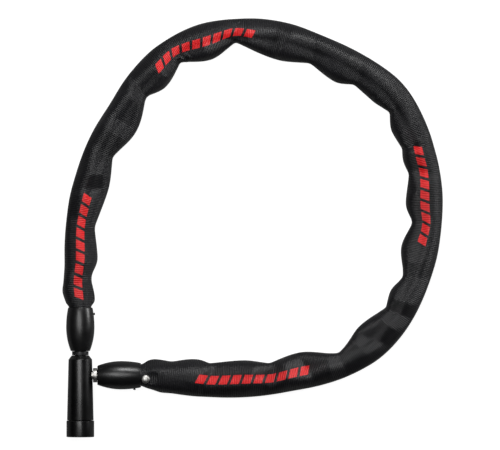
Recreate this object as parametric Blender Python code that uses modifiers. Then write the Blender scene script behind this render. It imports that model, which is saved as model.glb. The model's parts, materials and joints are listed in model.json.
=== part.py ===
"""Chain lock: a link chain in a fabric sleeve, closed on itself by a bolt in the side of a barrel lock.

The lock lies flat on its underside, closed. Dimensions are in millimetres in the lock's own frame, whose
origin is on the floor under the point where the barrel's axis (along Y) crosses the bolt's axis (along X).
The frame empty at the end of the tree turns that frame into metres about the middle of the whole object.
"""
import math

import bpy
import bmesh
from mathutils import Matrix, Vector

MM = 0.001
GAP = 0.3                       # running clearance between neighbouring pieces

# Where everything lies
MIDDLE = (161.9, 136.7)         # middle of the whole object, in the lock's frame
AXIS_Z = 13.2                   # height of the barrel's, the caps' and the bolt's axes
CHAIN_Z = 9.5                   # height of the chain where it lies on its sleeve
CHAIN_RISE = (12.0, 104.0)      # distances from its ends over which the chain sinks from AXIS_Z to CHAIN_Z

# Chain
BAR, BAR_CHAMFER = 5.0, 1.2     # square bar that the links are bent from, with its edges off
LINK_SLACK = 1.4                # between the middles of two linked crowns
LINK_HOLE = 6.4                 # width inside a link
LINK_COUNT = 37                 # odd, so that both end links lie flat on upright pins
LINKS_IN_GROUP = (4, 4, 4, 4, 5, 4, 4, 4, 4)   # each group is one rigid body
ROOT_GROUP = 5

# Barrel lock, along Y
COVER_TOP, COVER_LOW, BARREL_END = 18.4, -41.8, -57.4
COVER_TOP_R, COVER_LOW_R, RING_R = 11.0, 12.35, 12.9
BODY_R, BODY_TOP, BODY_LOW = 9.1, 12.6, -53.6
CYLINDER_R, CYLINDER_TOP = 6.6, -24.0
PLUG_R = 4.3
STEM_R = 5.0
BORE_TOP = -11.7

# Bolt, along X
BOLT_R, NECK_R, COLLAR_R = 4.0, 2.5, 6.7
COLLAR_FROM, COLLAR_TO = 11.9, 15.6   # the collar stops the bolt just outside the cover
NECK_HALF = 2.3                 # half the length of the bolt's neck, which the latch enters
CAP_LENGTH, CAP_WALL = 40.4, 1.2
CAP_END_R, CAP_BELLY_R, CAP_MOUTH_R, CAP_BELLY_AT = 8.9, 13.2, 11.4, 0.545
FIXED_CAP_AT = 22.5             # small end of the fixed cap, along Y
FREE_CAP_AT = 15.9              # small end of the free cap, along X
PIN_BEHIND_MOUTH = 8.0          # from a cap's mouth back to the pin that holds the chain
PIN_R = 2.5

# Latch
LATCH_TRAVEL = 4.5
CRANK = LATCH_TRAVEL / math.sqrt(2)   # radius of the plug's crank pin, which turns from -45 to 45 degrees

# Sleeve
SLEEVE_WALL = 0.8
SLEEVE_OUT, SLEEVE_IN = 10.6, 18.5    # from the chain's middle to the sleeve's outer and inner edges
SLEEVE_TUCK = 7.0                     # how far the sleeve goes into a cap
SLEEVE_ROUND, SLEEVE_FLARE = 7.6, 17.0   # length of its round end, and of the flare after it
SLEEVE_SIDES, SLEEVE_STEPS = 16, 45
RIVET_AT = (60.9, -3.4)

FIXED_MOUTH = FIXED_CAP_AT + CAP_LENGTH
FREE_MOUTH = FREE_CAP_AT + CAP_LENGTH
FIXED_PIN = Vector((0.0, FIXED_MOUTH - PIN_BEHIND_MOUTH))
FREE_PIN = Vector((FREE_MOUTH - PIN_BEHIND_MOUTH, 0.0))

# The chain's way round the loop, seen from above, between the two pins
ROUTE = (
    FIXED_PIN, (0, 70), (-1.0, 90), (-2.2, 120), (0.5, 157), (8, 191), (20.5, 222), (38.5, 250.5),
    (59, 279), (85, 302), (116, 317), (152, 320.5), (188, 317), (222, 306), (256, 290), (285, 270),
    (307, 242), (320, 205),
    (326.5, 162), (323.5, 120), (312, 84), (294, 49), (267, 22), (232, 4.5), (190, -5.5), (140, -10),
    (106, -6.8), (84, -2.2), (68, 0), FREE_PIN,
)

COLOURS = {
    "black_plastic": ((0.018, 0.018, 0.019), 0.38, 0.0),
    "cover_paint": ((0.010, 0.010, 0.011), 0.32, 0.0),
    "fabric": ((0.020, 0.020, 0.023), 0.85, 0.0),
    "chain_steel": ((0.34, 0.34, 0.35), 0.38, 1.0),
    "bright_steel": ((0.72, 0.71, 0.69), 0.25, 1.0),
    "dark_steel": ((0.12, 0.12, 0.125), 0.42, 1.0),
    "brass": ((0.72, 0.53, 0.24), 0.33, 1.0),
}


# ---------------------------------------------------------------- scene, materials, bodies

def clear_scene():
    for thing in list(bpy.data.objects):
        bpy.data.objects.remove(thing, do_unlink=True)


def new_collection(name):
    collection = bpy.data.collections.new(name)
    bpy.context.scene.collection.children.link(collection)
    return collection


def make_materials():
    made = {}
    for name, (colour, roughness, metallic) in COLOURS.items():
        material = bpy.data.materials.new(name)
        material.use_nodes = True
        shader = material.node_tree.nodes["Principled BSDF"]
        shader.inputs["Base Color"].default_value = (*colour, 1.0)
        shader.inputs["Roughness"].default_value = roughness
        shader.inputs["Metallic"].default_value = metallic
        material.diffuse_color = (*colour, 1.0)
        made[name] = material
    return made


clear_scene()
PARTS = new_collection("chain_lock")
CUTTERS = new_collection("cutters")
MATERIALS = make_materials()

ALONG_Y = Matrix.Rotation(math.radians(-90), 4, "X")
ALONG_X = Matrix.Rotation(math.radians(90), 4, "Y")
ALONG_Z = Matrix.Identity(4)
PIN_PLACE = Matrix.Translation((0, -40 * MM, 0)) @ Matrix.Rotation(math.radians(7), 4, "Z")
OUTLINE_IN_YZ = Matrix(((0, 0, 1, 0), (1, 0, 0, 0), (0, 1, 0, 0), (0, 0, 0, 1)))


def body_empty(name, at):
    """The empty that a rigid body's pieces hang from, on the body's joint axis. at is in millimetres."""
    empty = bpy.data.objects.new(name, None)
    empty.empty_display_size = 0.01
    empty.location = (Vector(at) - Vector((*MIDDLE, 0.0))) * MM
    PARTS.objects.link(empty)
    return empty


def add_piece(name, mesh, material, body, at, turn=ALONG_Z):
    """A sub-part: a mesh in metres, turned and put at a point of the lock's frame, under its body's empty."""
    piece = bpy.data.objects.new(name, mesh)
    PARTS.objects.link(piece)
    if not mesh.materials:
        mesh.materials.append(MATERIALS[material])
    piece.parent = body
    world = (Vector(at) - Vector((*MIDDLE, 0.0))) * MM
    piece.matrix_local = Matrix.Translation(world - body.location) @ turn
    return piece


def add_cutter(name, mesh, at, turn=ALONG_Z):
    cutter = bpy.data.objects.new(name, mesh)
    CUTTERS.objects.link(cutter)
    cutter.matrix_world = Matrix.Translation((Vector(at) - Vector((*MIDDLE, 0.0))) * MM) @ turn
    cutter.hide_render = True
    cutter.display_type = "WIRE"
    return cutter


def combine(piece, other, operation):
    step = piece.modifiers.new(other.name, "BOOLEAN")
    step.object = other
    step.operation = operation


# ---------------------------------------------------------------- basic shapes

def turned_mesh(name, profile, hollow=False, segments=24):
    """A turned shape about Z. profile is (radius, height) down the outside, and for a ring up the inside."""
    outline = bpy.data.meshes.new(name)
    shape = bmesh.new()
    corners = [shape.verts.new((radius * MM, 0.0, height * MM)) for radius, height in profile]
    for first, second in zip(corners, corners[1:]):
        shape.edges.new((first, second))
    if hollow:
        shape.edges.new((corners[-1], corners[0]))
    shape.to_mesh(outline)
    shape.free()
    return spin(outline, segments)


def spin(outline, segments):
    """Turns an outline into a closed mesh with a Screw modifier."""
    maker = bpy.data.objects.new(outline.name, outline)
    CUTTERS.objects.link(maker)
    screw = maker.modifiers.new("Screw", "SCREW")
    screw.steps = screw.render_steps = segments
    screw.use_merge_vertices = True
    screw.merge_threshold = 0.00001
    mesh = bpy.data.meshes.new_from_object(maker.evaluated_get(bpy.context.evaluated_depsgraph_get()))
    bpy.data.objects.remove(maker)
    mesh.name = outline.name
    mesh.shade_smooth()
    mesh.set_sharp_from_angle(angle=math.radians(35))
    return mesh


def rod_mesh(name, radius, low, high, segments=24):
    return turned_mesh(name, ((0, high), (radius, high), (radius, low), (0, low)), segments=segments)


def ring_mesh(name, outer, inner, low, high, segments=24):
    return turned_mesh(name, ((outer, high), (outer, low), (inner, low), (inner, high)), True, segments)


def box_mesh(name, low, high):
    """A box between two corners, in millimetres."""
    mesh = bpy.data.meshes.new(name)
    shape = bmesh.new()
    bmesh.ops.create_cube(shape, size=1.0)
    low, high = Vector(low) * MM, Vector(high) * MM
    for corner in shape.verts:
        corner.co = (low + high) / 2 + Vector(a * b for a, b in zip(corner.co, high - low))
    shape.to_mesh(mesh)
    shape.free()
    return mesh


def plate_mesh(name, outlines, half_thickness):
    """A flat plate cut from closed outlines in its own XY plane, the first outline with the rest as holes."""
    curve = bpy.data.curves.new(name, "CURVE")
    curve.dimensions = "2D"
    curve.fill_mode = "BOTH"
    curve.extrude = half_thickness * MM
    for outline in outlines:
        spline = curve.splines.new("POLY")
        spline.points.add(len(outline) - 1)
        for point, (x, y) in zip(spline.points, outline):
            point.co = (x * MM, y * MM, 0.0, 1.0)
        spline.use_cyclic_u = True
    maker = bpy.data.objects.new(name, curve)
    CUTTERS.objects.link(maker)
    mesh = bpy.data.meshes.new_from_object(maker.evaluated_get(bpy.context.evaluated_depsgraph_get()))
    bpy.data.objects.remove(maker)
    shape = bmesh.new()
    shape.from_mesh(mesh)
    bmesh.ops.remove_doubles(shape, verts=shape.verts, dist=0.00001)
    bmesh.ops.recalc_face_normals(shape, faces=shape.faces)
    shape.to_mesh(mesh)
    shape.free()
    return mesh


# ---------------------------------------------------------------- the chain's route

def smooth_line(points, steps=24):
    """A Catmull-Rom curve through points."""
    points = [Vector(p) for p in points]
    points = [2 * points[0] - points[1], *points, 2 * points[-1] - points[-2]]
    line = []
    for a, b, c, d in zip(points, points[1:], points[2:], points[3:]):
        for step in range(steps):
            t = step / steps
            line.append(0.5 * (2 * b + (c - a) * t + (2 * a - 5 * b + 4 * c - d) * t ** 2
                               + (3 * b - a - 3 * c + d) * t ** 3))
    return line + [points[-2]]


def smoothstep(t):
    t = min(max(t, 0.0), 1.0)
    return t * t * (3 - 2 * t)


def chain_line():
    """The chain's middle line, with its height: level with the axes at both ends and low round the loop."""
    flat = smooth_line(ROUTE)
    walked = [0.0]
    for first, second in zip(flat, flat[1:]):
        walked.append(walked[-1] + (second - first).length)
    line = []
    for point, distance in zip(flat, walked):
        from_end = min(distance, walked[-1] - distance)
        sunk = smoothstep((from_end - CHAIN_RISE[0]) / (CHAIN_RISE[1] - CHAIN_RISE[0]))
        line.append(Vector((point.x, point.y, AXIS_Z + (CHAIN_Z - AXIS_Z) * sunk)))
    return line


def walk(line, spans):
    """Points on a line, each a straight span from the one before. The last may pass the line's end."""
    points, at = [line[0]], 0
    for span in spans:
        here = points[-1]
        while at < len(line) - 2 and (line[at + 1] - here).length < span:
            at += 1
        low, high = 0.0, 1.0 if at < len(line) - 2 else 200.0
        for _ in range(40):
            t = (low + high) / 2
            if (line[at].lerp(line[at + 1], t) - here).length < span:
                low = t
            else:
                high = t
        points.append(line[at].lerp(line[at + 1], low))
    return points


def link_spans(hole_length):
    """Pivot distances: an upright link's pivots are its crowns, a flat link's are the crowns it holds."""
    flat, upright = hole_length - BAR - 2 * LINK_SLACK, hole_length + BAR
    return [upright if number % 2 else flat for number in range(LINK_COUNT)]


def fit_chain(line):
    """The length inside a link that makes the chain reach from pin to pin, and the pivots."""
    low, high = 3 * BAR, 8 * BAR
    for _ in range(40):
        middle = (low + high) / 2
        if walk(line, link_spans(middle))[-1].x < line[-1].x:
            high = middle
        else:
            low = middle
    return low, walk(line, link_spans(low))


LINE = chain_line()
HOLE_LENGTH, PIVOTS = fit_chain(LINE)


# ---------------------------------------------------------------- chain

def stadium(length, width, arc_steps=4):
    """A slot outline: two straight sides and two round ends, all of it length long and width wide."""
    outline = []
    for side in (1, -1):
        for step in range(arc_steps + 1):
            angle = math.radians(-90 + 180 * step / arc_steps)
            outline.append((side * ((length - width) / 2 + width / 2 * math.cos(angle)),
                            side * width / 2 * math.sin(angle)))
    return outline


def add_links(bodies):
    """Every link shares one mesh. Odd links lie flat and even links stand upright."""
    outer = stadium(HOLE_LENGTH + 2 * BAR, LINK_HOLE + 2 * BAR)
    inner = stadium(HOLE_LENGTH, LINK_HOLE)
    mesh = plate_mesh("link", (outer, inner), BAR / 2)
    number = 0
    for group, count in enumerate(LINKS_IN_GROUP, 1):
        for _ in range(count):
            start, end = PIVOTS[number], PIVOTS[number + 1]
            along = (end - start).normalized()
            across = Vector((0, 0, 1)).cross(along).normalized()
            up = along.cross(across)
            turn = Matrix((along, across, up)).transposed().to_4x4()
            if number % 2:
                turn = turn @ Matrix.Rotation(math.radians(90), 4, "X")
            number += 1
            link = add_piece(f"link_{number:02d}", mesh, "chain_steel", bodies[f"chain_{group}"],
                             (start + end) / 2, turn)
            edges_off = link.modifiers.new("Edges off", "BEVEL")
            edges_off.width = BAR_CHAMFER * MM
            edges_off.segments = 1
            edges_off.use_clamp_overlap = False
            edges_off.angle_limit = math.radians(60)


# ---------------------------------------------------------------- fabric sleeve

def sleeve_section(from_end):
    """The sleeve's ring at a distance from its end, as (inward, up) points: round in a cap, then boxy."""
    tucked_r = CAP_MOUTH_R - CAP_WALL - GAP - 0.1
    widening = smoothstep((from_end - SLEEVE_ROUND) / SLEEVE_FLARE)
    half_height = tucked_r + (CHAIN_Z - tucked_r) * widening
    outside = tucked_r + (SLEEVE_OUT - tucked_r) * widening
    inside = tucked_r + (SLEEVE_IN - tucked_r) * widening
    power = 1.0 - 0.2 * widening
    half_height /= math.cos(math.pi / SLEEVE_SIDES) ** power
    ring = []
    for side in range(SLEEVE_SIDES):
        angle = 2 * math.pi * (side + 0.5) / SLEEVE_SIDES
        c, s = math.cos(angle), math.sin(angle)
        half_width = inside if c > 0 else outside
        ring.append((half_width * math.copysign(abs(c) ** power, c),
                     half_height * math.copysign(abs(s) ** power, s)))
    return ring


def add_sleeve(body):
    """An open tube lofted along the chain, given its thickness inwards by Solidify."""
    start = LINE[0] + Vector((0, 1, 0)) * (PIN_BEHIND_MOUTH - SLEEVE_TUCK)
    end = LINE[-1] + Vector((1, 0, 0)) * (PIN_BEHIND_MOUTH - SLEEVE_TUCK)
    trimmed = [start] + [p for p in LINE if (p - LINE[0]).length > 4 and (p - LINE[-1]).length > 4] + [end]
    total = sum((b - a).length for a, b in zip(trimmed, trimmed[1:]))
    step = (total - 2 * SLEEVE_ROUND) / SLEEVE_STEPS
    middle = walk(trimmed, [SLEEVE_ROUND] + [step] * SLEEVE_STEPS) + [end]
    mesh = bpy.data.meshes.new("sleeve")
    shape = bmesh.new()
    rings = []
    for number, point in enumerate(middle):
        before, after = middle[max(number - 1, 0)], middle[min(number + 1, len(middle) - 1)]
        along = (after - before).normalized()
        inward = Vector((0, 0, 1)).cross(along).normalized() * -1
        up = inward.cross(along)
        rings.append([shape.verts.new((point + inward * x + up * z) * MM)
                      for x, z in sleeve_section(min((point - start).length, (point - end).length))])
    for first, second in zip(rings, rings[1:]):
        for side in range(SLEEVE_SIDES):
            after = (side + 1) % SLEEVE_SIDES
            shape.faces.new((first[side], first[after], second[after], second[side]))
    bmesh.ops.recalc_face_normals(shape, faces=shape.faces)
    shape.to_mesh(mesh)
    shape.free()
    mesh.shade_smooth()
    sleeve = add_piece("fabric_sleeve", mesh, "fabric", body, (0, 0, 0))
    wall = sleeve.modifiers.new("Wall", "SOLIDIFY")
    wall.thickness = SLEEVE_WALL * MM
    wall.offset = -1.0
    wall.use_even_offset = True
    hole = add_cutter("rivet_hole", rod_mesh("rivet_hole", 1.9, 0, 20, 12), (*RIVET_AT, AXIS_Z))
    combine(sleeve, hole, "DIFFERENCE")


# ---------------------------------------------------------------- barrel lock

def add_barrel(body):
    """The cover, the steel body inside it and the ring round its end."""
    axis = (0, 0, AXIS_Z)
    stem_hole = STEM_R + 0.6
    cover = add_piece("housing_cover", turned_mesh("housing_cover", (
        (stem_hole, COVER_TOP), (8.0, COVER_TOP), (COVER_TOP_R, COVER_TOP - 3.8), (COVER_LOW_R, COVER_LOW),
        (BODY_R + GAP, COVER_LOW), (BODY_R + GAP, BODY_TOP + 0.4), (stem_hole, BODY_TOP + 2.6),
    ), True, 32), "cover_paint", body, axis, ALONG_Y)
    cover_hole = rod_mesh("cover_hole", BOLT_R + GAP, 8.0, 20.0)
    combine(cover, add_cutter("cover_hole", cover_hole, axis, ALONG_X), "DIFFERENCE")

    block = add_piece("lock_body", rod_mesh("lock_body", BODY_R, BODY_LOW, BODY_TOP), "dark_steel",
                      body, axis, ALONG_Y)
    bores = (
        ("pin_bore", rod_mesh("pin_bore", 1.3, 5.0, 10.0, 12), PIN_PLACE),
        ("cylinder_bore", rod_mesh("cylinder_bore", CYLINDER_R + GAP, BODY_LOW - 1, BORE_TOP), ALONG_Y),
        ("stem_bore", rod_mesh("stem_bore", STEM_R + GAP, 7.5, BODY_TOP + 1), ALONG_Y),
        ("bolt_bore", rod_mesh("bolt_bore", BOLT_R + GAP, -7.8, 12.0), ALONG_X),
        ("latch_slot", box_mesh("latch_slot", (-2.3, -12.5, -10.0), (2.3, 5.3, 1.5)), ALONG_Z),
    )
    for name, mesh, turn in bores:
        combine(block, add_cutter(name, mesh, axis, turn), "DIFFERENCE")

    add_piece("end_ring", turned_mesh("end_ring", (
        (12.5, COVER_LOW - 0.4), (RING_R, COVER_LOW - 0.8), (RING_R, BARREL_END),
        (CYLINDER_R + GAP, BARREL_END), (CYLINDER_R + GAP, BODY_LOW - 0.4),
        (BODY_R + GAP, BODY_LOW - 0.4), (BODY_R + GAP, COVER_LOW - 0.4),
    ), True, 32), "cover_paint", body, axis, ALONG_Y)


def add_cylinder(body, plug_body):
    """The key cylinder: a shell pinned in the steel body, and the plug with its clip, which the key turns."""
    axis = (0, 0, AXIS_Z)
    tube = ring_mesh("cylinder_shell", CYLINDER_R, PLUG_R + GAP, BARREL_END + 0.4, CYLINDER_TOP)
    shell = add_piece("cylinder_shell", tube, "brass", body, axis, ALONG_Y)
    pin_hole = rod_mesh("shell_pin_hole", 1.3, 5.2, 10.0, 12)
    combine(shell, add_cutter("shell_pin_hole", pin_hole, axis, PIN_PLACE), "DIFFERENCE")
    pin = rod_mesh("cylinder_pin", 1.0, 5.5, 8.9, 12)
    add_piece("cylinder_pin", pin, "bright_steel", body, axis, PIN_PLACE)

    plug = add_piece("key_plug", turned_mesh("key_plug", (
        (0, -19.0), (PLUG_R, -19.0), (PLUG_R, -22.5), (3.5, -22.5), (3.5, -23.7), (PLUG_R, -23.7),
        (PLUG_R, BARREL_END + 0.3), (0, BARREL_END + 0.3),
    )), "brass", plug_body, axis, ALONG_Y)
    reach = CRANK / math.sqrt(2)
    crank = add_cutter("crank_pin", rod_mesh("crank_pin", 1.1, -20.0, -13.2, 12),
                       (reach, 0, AXIS_Z - reach), ALONG_Y)
    combine(plug, crank, "UNION")
    keyway = box_mesh("keyway", (-1.1, BARREL_END - 1, -3.3), (1.1, -30.0, 3.3))
    combine(plug, add_cutter("keyway", keyway, axis), "DIFFERENCE")

    clip = add_piece("plug_clip", ring_mesh("plug_clip", 6.0, 3.8, -23.5, -22.7), "dark_steel",
                     plug_body, axis, ALONG_Y)
    clip_gap = box_mesh("clip_gap", (-3.0, -24.0, 0.0), (3.0, -22.0, 8.0))
    combine(clip, add_cutter("clip_gap", clip_gap, axis), "DIFFERENCE")


def add_latch(body):
    """The latch: a fork that enters the bolt's neck, on a foot whose slot holds the plug's crank pin."""
    axis = (0, 0, AXIS_Z)
    outline = ((5.0, -8.5), (5.0, -3.3), (2.8, -3.3), (2.8, -7.3), (-2.8, -7.3), (-2.8, -3.3),
               (-12.9, -3.3), (-12.9, 0.6), (-17.3, 0.6), (-17.3, -6.0), (-12.2, -6.0), (-12.2, -8.5))
    latch = add_piece("latch", plate_mesh("latch", (outline,), 2.0), "bright_steel", body, axis, OUTLINE_IN_YZ)
    foot = box_mesh("latch_foot", (1.8, -17.3, -4.9), (4.0, -12.9, 0.6))
    combine(latch, add_cutter("latch_foot", foot, axis), "UNION")
    slot_z = -CRANK / math.sqrt(2)
    slot = box_mesh("crank_slot", (0.8, -18.0, slot_z - 1.45), (5.0, -12.0, slot_z + 1.45))
    combine(latch, add_cutter("crank_slot", slot, axis), "DIFFERENCE")


# ---------------------------------------------------------------- the chain's two ends

def cap_profile(small_end, hole_r):
    """A barrel-shaped cap from its small end to its mouth: one curve outside, the same less a wall inside."""
    def radius(share):
        if share < CAP_BELLY_AT:
            away = (CAP_BELLY_AT - share) / CAP_BELLY_AT
            return CAP_BELLY_R - (CAP_BELLY_R - CAP_END_R) * away ** 2
        away = (share - CAP_BELLY_AT) / (1 - CAP_BELLY_AT)
        return CAP_BELLY_R - (CAP_BELLY_R - CAP_MOUTH_R) * away ** 2

    shares = [1.0, 0.84, 0.68, 0.54, 0.38, 0.22, 0.1, 0.0]
    outside = [(radius(s), small_end + CAP_LENGTH * s) for s in shares]
    inside = [(radius(s) - CAP_WALL, small_end + CAP_LENGTH * s) for s in reversed(shares[:-1])]
    floor = small_end + 1.8
    inside = [(r, h) for r, h in inside if h > floor + 1]
    return outside + [(hole_r, small_end), (hole_r, floor), (radius(0.05) - CAP_WALL, floor)] + inside


def add_cap(name, body, turn, small_end, hole_r, side):
    """A cap with a notch on each side of its mouth, where the wide sleeve comes out, and a side rivet."""
    axis = (0, 0, AXIS_Z)
    cap = add_piece(name, turned_mesh(name, cap_profile(small_end, hole_r), True, 24), "black_plastic",
                    body, axis, turn)
    along_y = turn is ALONG_Y
    mouth = small_end + CAP_LENGTH
    across = ALONG_X if along_y else ALONG_Y
    at_mouth = (0, mouth, AXIS_Z) if along_y else (mouth, 0, AXIS_Z)
    notch = rod_mesh(f"{name}_notch", 4.4, -16, 16, 16)
    combine(cap, add_cutter(f"{name}_notch", notch, at_mouth, across), "DIFFERENCE")
    back = 5.9
    at_rivet = (0, mouth - back, AXIS_Z) if along_y else (mouth - back, 0, AXIS_Z)
    low, high = sorted((side * 8.0, side * 16.0))
    hole = rod_mesh(f"{name}_rivet_hole", 1.2, low, high, 12)
    combine(cap, add_cutter(f"{name}_rivet_hole", hole, at_rivet, across), "DIFFERENCE")
    rivet = ((0, 13.8), (0.8, 13.6), (1.3, 12.8), (0.8, 12.8), (0.8, 10.3), (0, 10.3))
    profile = rivet if side > 0 else tuple((r, -h) for r, h in reversed(rivet))
    add_piece(f"{name}_rivet", turned_mesh(f"{name}_rivet", profile, segments=12), "dark_steel",
              body, at_rivet, across)


def add_clevis_cuts(piece, name, pin, along_y):
    """The slot between a clevis's cheeks for the end link, and the cross hole for its pin."""
    reach = BAR + PIN_R + LINK_SLACK + 2 * GAP
    if along_y:
        low, high = (-10, pin.y - reach, -2.8), (10, pin.y + 10, 2.8)
    else:
        low, high = (pin.x - reach, -10, -2.8), (pin.x + 10, 10, 2.8)
    axis = (0, 0, AXIS_Z)
    combine(piece, add_cutter(f"{name}_slot", box_mesh(f"{name}_slot", low, high), axis), "DIFFERENCE")
    hole = rod_mesh(f"{name}_pin_hole", PIN_R + GAP, -8, 8, 16)
    combine(piece, add_cutter(f"{name}_pin_hole", hole, (pin.x, pin.y, AXIS_Z)), "DIFFERENCE")


def add_chain_pin(name, body, pin):
    """The headed cross pin that the end link hangs on."""
    profile = ((0, 6.2), (3.4, 6.2), (3.4, 5.6), (PIN_R, 5.6), (PIN_R, -5.3), (0, -5.3))
    add_piece(name, turned_mesh(name, profile, segments=16), "bright_steel", body, (pin.x, pin.y, AXIS_Z))


def add_fixed_end(body, bush_body):
    """The stud screwed into the lock, with its clevis, the loose bush round its neck, and the fixed cap."""
    axis = (0, 0, AXIS_Z)
    shoulder = FIXED_CAP_AT + 2.2
    stud = add_piece("anchor_stud", turned_mesh("anchor_stud", (
        (0, 32.0), (7.0, 32.0), (7.0, shoulder), (STEM_R, shoulder), (STEM_R, 7.9), (0, 7.9),
    )), "dark_steel", body, axis, ALONG_Y)
    cheeks = box_mesh("stud_cheeks", (-5.5, 31.0, -5.3), (5.5, FIXED_PIN.y + 4.5, 5.3))
    combine(stud, add_cutter("stud_cheeks", cheeks, axis), "UNION")
    add_clevis_cuts(stud, "stud", FIXED_PIN, True)
    add_chain_pin("fixed_chain_pin", body, FIXED_PIN)
    add_cap("fixed_cap", body, ALONG_Y, FIXED_CAP_AT, STEM_R + GAP, 1)
    bush = ring_mesh("neck_bush", 7.7, STEM_R + GAP, COVER_TOP + GAP, FIXED_CAP_AT - GAP)
    add_piece("neck_bush", bush, "dark_steel", bush_body, axis, ALONG_Y)


def add_free_end(body, bolt_body):
    """The bolt, the socket that it turns in, its clevis and retaining ring, the free cap and its rivets."""
    axis = (0, 0, AXIS_Z)
    tip = -7.5
    add_piece("bolt", turned_mesh("bolt", (
        (0, 27.2), (5.3, 27.2), (5.3, 24.2), (4.5, 24.2), (4.5, COLLAR_TO), (COLLAR_R, COLLAR_TO),
        (COLLAR_R, COLLAR_FROM + 0.4), (COLLAR_R - 0.4, COLLAR_FROM), (BOLT_R, COLLAR_FROM),
        (BOLT_R, NECK_HALF), (NECK_R, NECK_HALF), (NECK_R, -NECK_HALF),
        (BOLT_R, -NECK_HALF), (BOLT_R, tip + 1.2), (BOLT_R - 1.2, tip), (0, tip),
    )), "bright_steel", bolt_body, axis, ALONG_X)
    rod = rod_mesh("bolt_socket", 7.2, 18.6, 31.0)
    socket = add_piece("bolt_socket", rod, "dark_steel", body, axis, ALONG_X)
    cheeks = box_mesh("socket_cheeks", (30.0, -5.5, -5.3), (FREE_PIN.x + 4.5, 5.5, 5.3))
    combine(socket, add_cutter("socket_cheeks", cheeks, axis), "UNION")
    bore = rod_mesh("socket_bore", 5.6, 18.0, 27.6)
    combine(socket, add_cutter("socket_bore", bore, axis, ALONG_X), "DIFFERENCE")
    add_clevis_cuts(socket, "socket", FREE_PIN, False)
    add_piece("bolt_ring", ring_mesh("bolt_ring", 5.3, 4.8, 19.0, 23.9), "brass", body, axis, ALONG_X)
    add_chain_pin("free_chain_pin", body, FREE_PIN)
    add_cap("free_cap", body, ALONG_X, FREE_CAP_AT, 4.8, -1)
    head = 10.2
    add_piece("sleeve_rivet", turned_mesh("sleeve_rivet", (
        (0, head + 1.9), (1.6, head + 1.65), (3.0, head + 0.9), (3.9, head), (1.5, head), (1.5, 6.9), (2.3, 6.2),
        (2.3, 5.3), (1.4, 4.7), (0, 4.7),
    ), segments=16), "bright_steel", body, (*RIVET_AT, AXIS_Z))


# ---------------------------------------------------------------- the whole lock

def make_bodies():
    """One empty for each rigid body, on its joint's axis. Group ROOT_GROUP of the chain carries the rest."""
    bodies = {}
    first = 0
    for group, count in enumerate(LINKS_IN_GROUP, 1):
        hinge = first if group > ROOT_GROUP else first + count
        bodies[f"chain_{group}"] = body_empty(f"chain_{group}_axis", PIVOTS[hinge])
        first += count
    bodies["lock_end"] = body_empty("lock_end_axis", PIVOTS[0])
    bodies["free_end"] = body_empty("free_end_axis", PIVOTS[-1])
    for name in ("plug", "bush", "bolt", "latch"):
        bodies[name] = body_empty(f"{name}_axis", (0, 0, AXIS_Z))
    return bodies


def main():
    bodies = make_bodies()
    bpy.context.view_layer.update()
    add_links(bodies)
    add_sleeve(bodies[f"chain_{ROOT_GROUP}"])
    add_barrel(bodies["lock_end"])
    add_cylinder(bodies["lock_end"], bodies["plug"])
    add_latch(bodies["latch"])
    add_fixed_end(bodies["lock_end"], bodies["bush"])
    add_free_end(bodies["free_end"], bodies["bolt"])
    bpy.context.view_layer.update()


main()
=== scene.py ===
import json
import math

import bpy
import bmesh
import numpy as np
from mathutils import Matrix, Vector

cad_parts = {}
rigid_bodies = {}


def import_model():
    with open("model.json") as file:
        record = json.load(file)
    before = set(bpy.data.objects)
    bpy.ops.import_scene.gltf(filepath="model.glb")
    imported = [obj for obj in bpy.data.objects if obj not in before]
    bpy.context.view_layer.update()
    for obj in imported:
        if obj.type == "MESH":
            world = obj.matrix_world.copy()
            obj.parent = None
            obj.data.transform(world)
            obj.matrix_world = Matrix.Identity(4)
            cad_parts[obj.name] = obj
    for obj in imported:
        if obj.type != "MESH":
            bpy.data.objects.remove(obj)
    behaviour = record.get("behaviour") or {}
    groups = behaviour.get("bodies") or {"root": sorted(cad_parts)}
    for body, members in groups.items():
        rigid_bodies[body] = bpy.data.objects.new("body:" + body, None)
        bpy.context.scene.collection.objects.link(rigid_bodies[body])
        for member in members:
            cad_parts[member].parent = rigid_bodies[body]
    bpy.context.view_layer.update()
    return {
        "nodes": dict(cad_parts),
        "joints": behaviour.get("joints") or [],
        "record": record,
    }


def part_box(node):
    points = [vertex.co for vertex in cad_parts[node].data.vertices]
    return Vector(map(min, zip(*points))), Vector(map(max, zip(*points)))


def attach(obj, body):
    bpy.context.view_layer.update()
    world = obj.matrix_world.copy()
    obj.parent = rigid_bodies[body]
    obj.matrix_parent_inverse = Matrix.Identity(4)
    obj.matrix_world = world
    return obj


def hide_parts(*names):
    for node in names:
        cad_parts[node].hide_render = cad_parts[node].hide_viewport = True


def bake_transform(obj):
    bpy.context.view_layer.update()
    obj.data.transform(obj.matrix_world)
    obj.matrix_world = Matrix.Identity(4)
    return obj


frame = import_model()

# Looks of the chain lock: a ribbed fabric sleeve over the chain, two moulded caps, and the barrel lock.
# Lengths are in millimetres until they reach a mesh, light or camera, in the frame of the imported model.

MM = 0.001

# ---------------------------------------------------------------- where things are


def middle(node):
    """The middle of a CAD node's box, in millimetres."""
    low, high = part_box(node)
    return np.array((low + high) / 2) / MM


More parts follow.
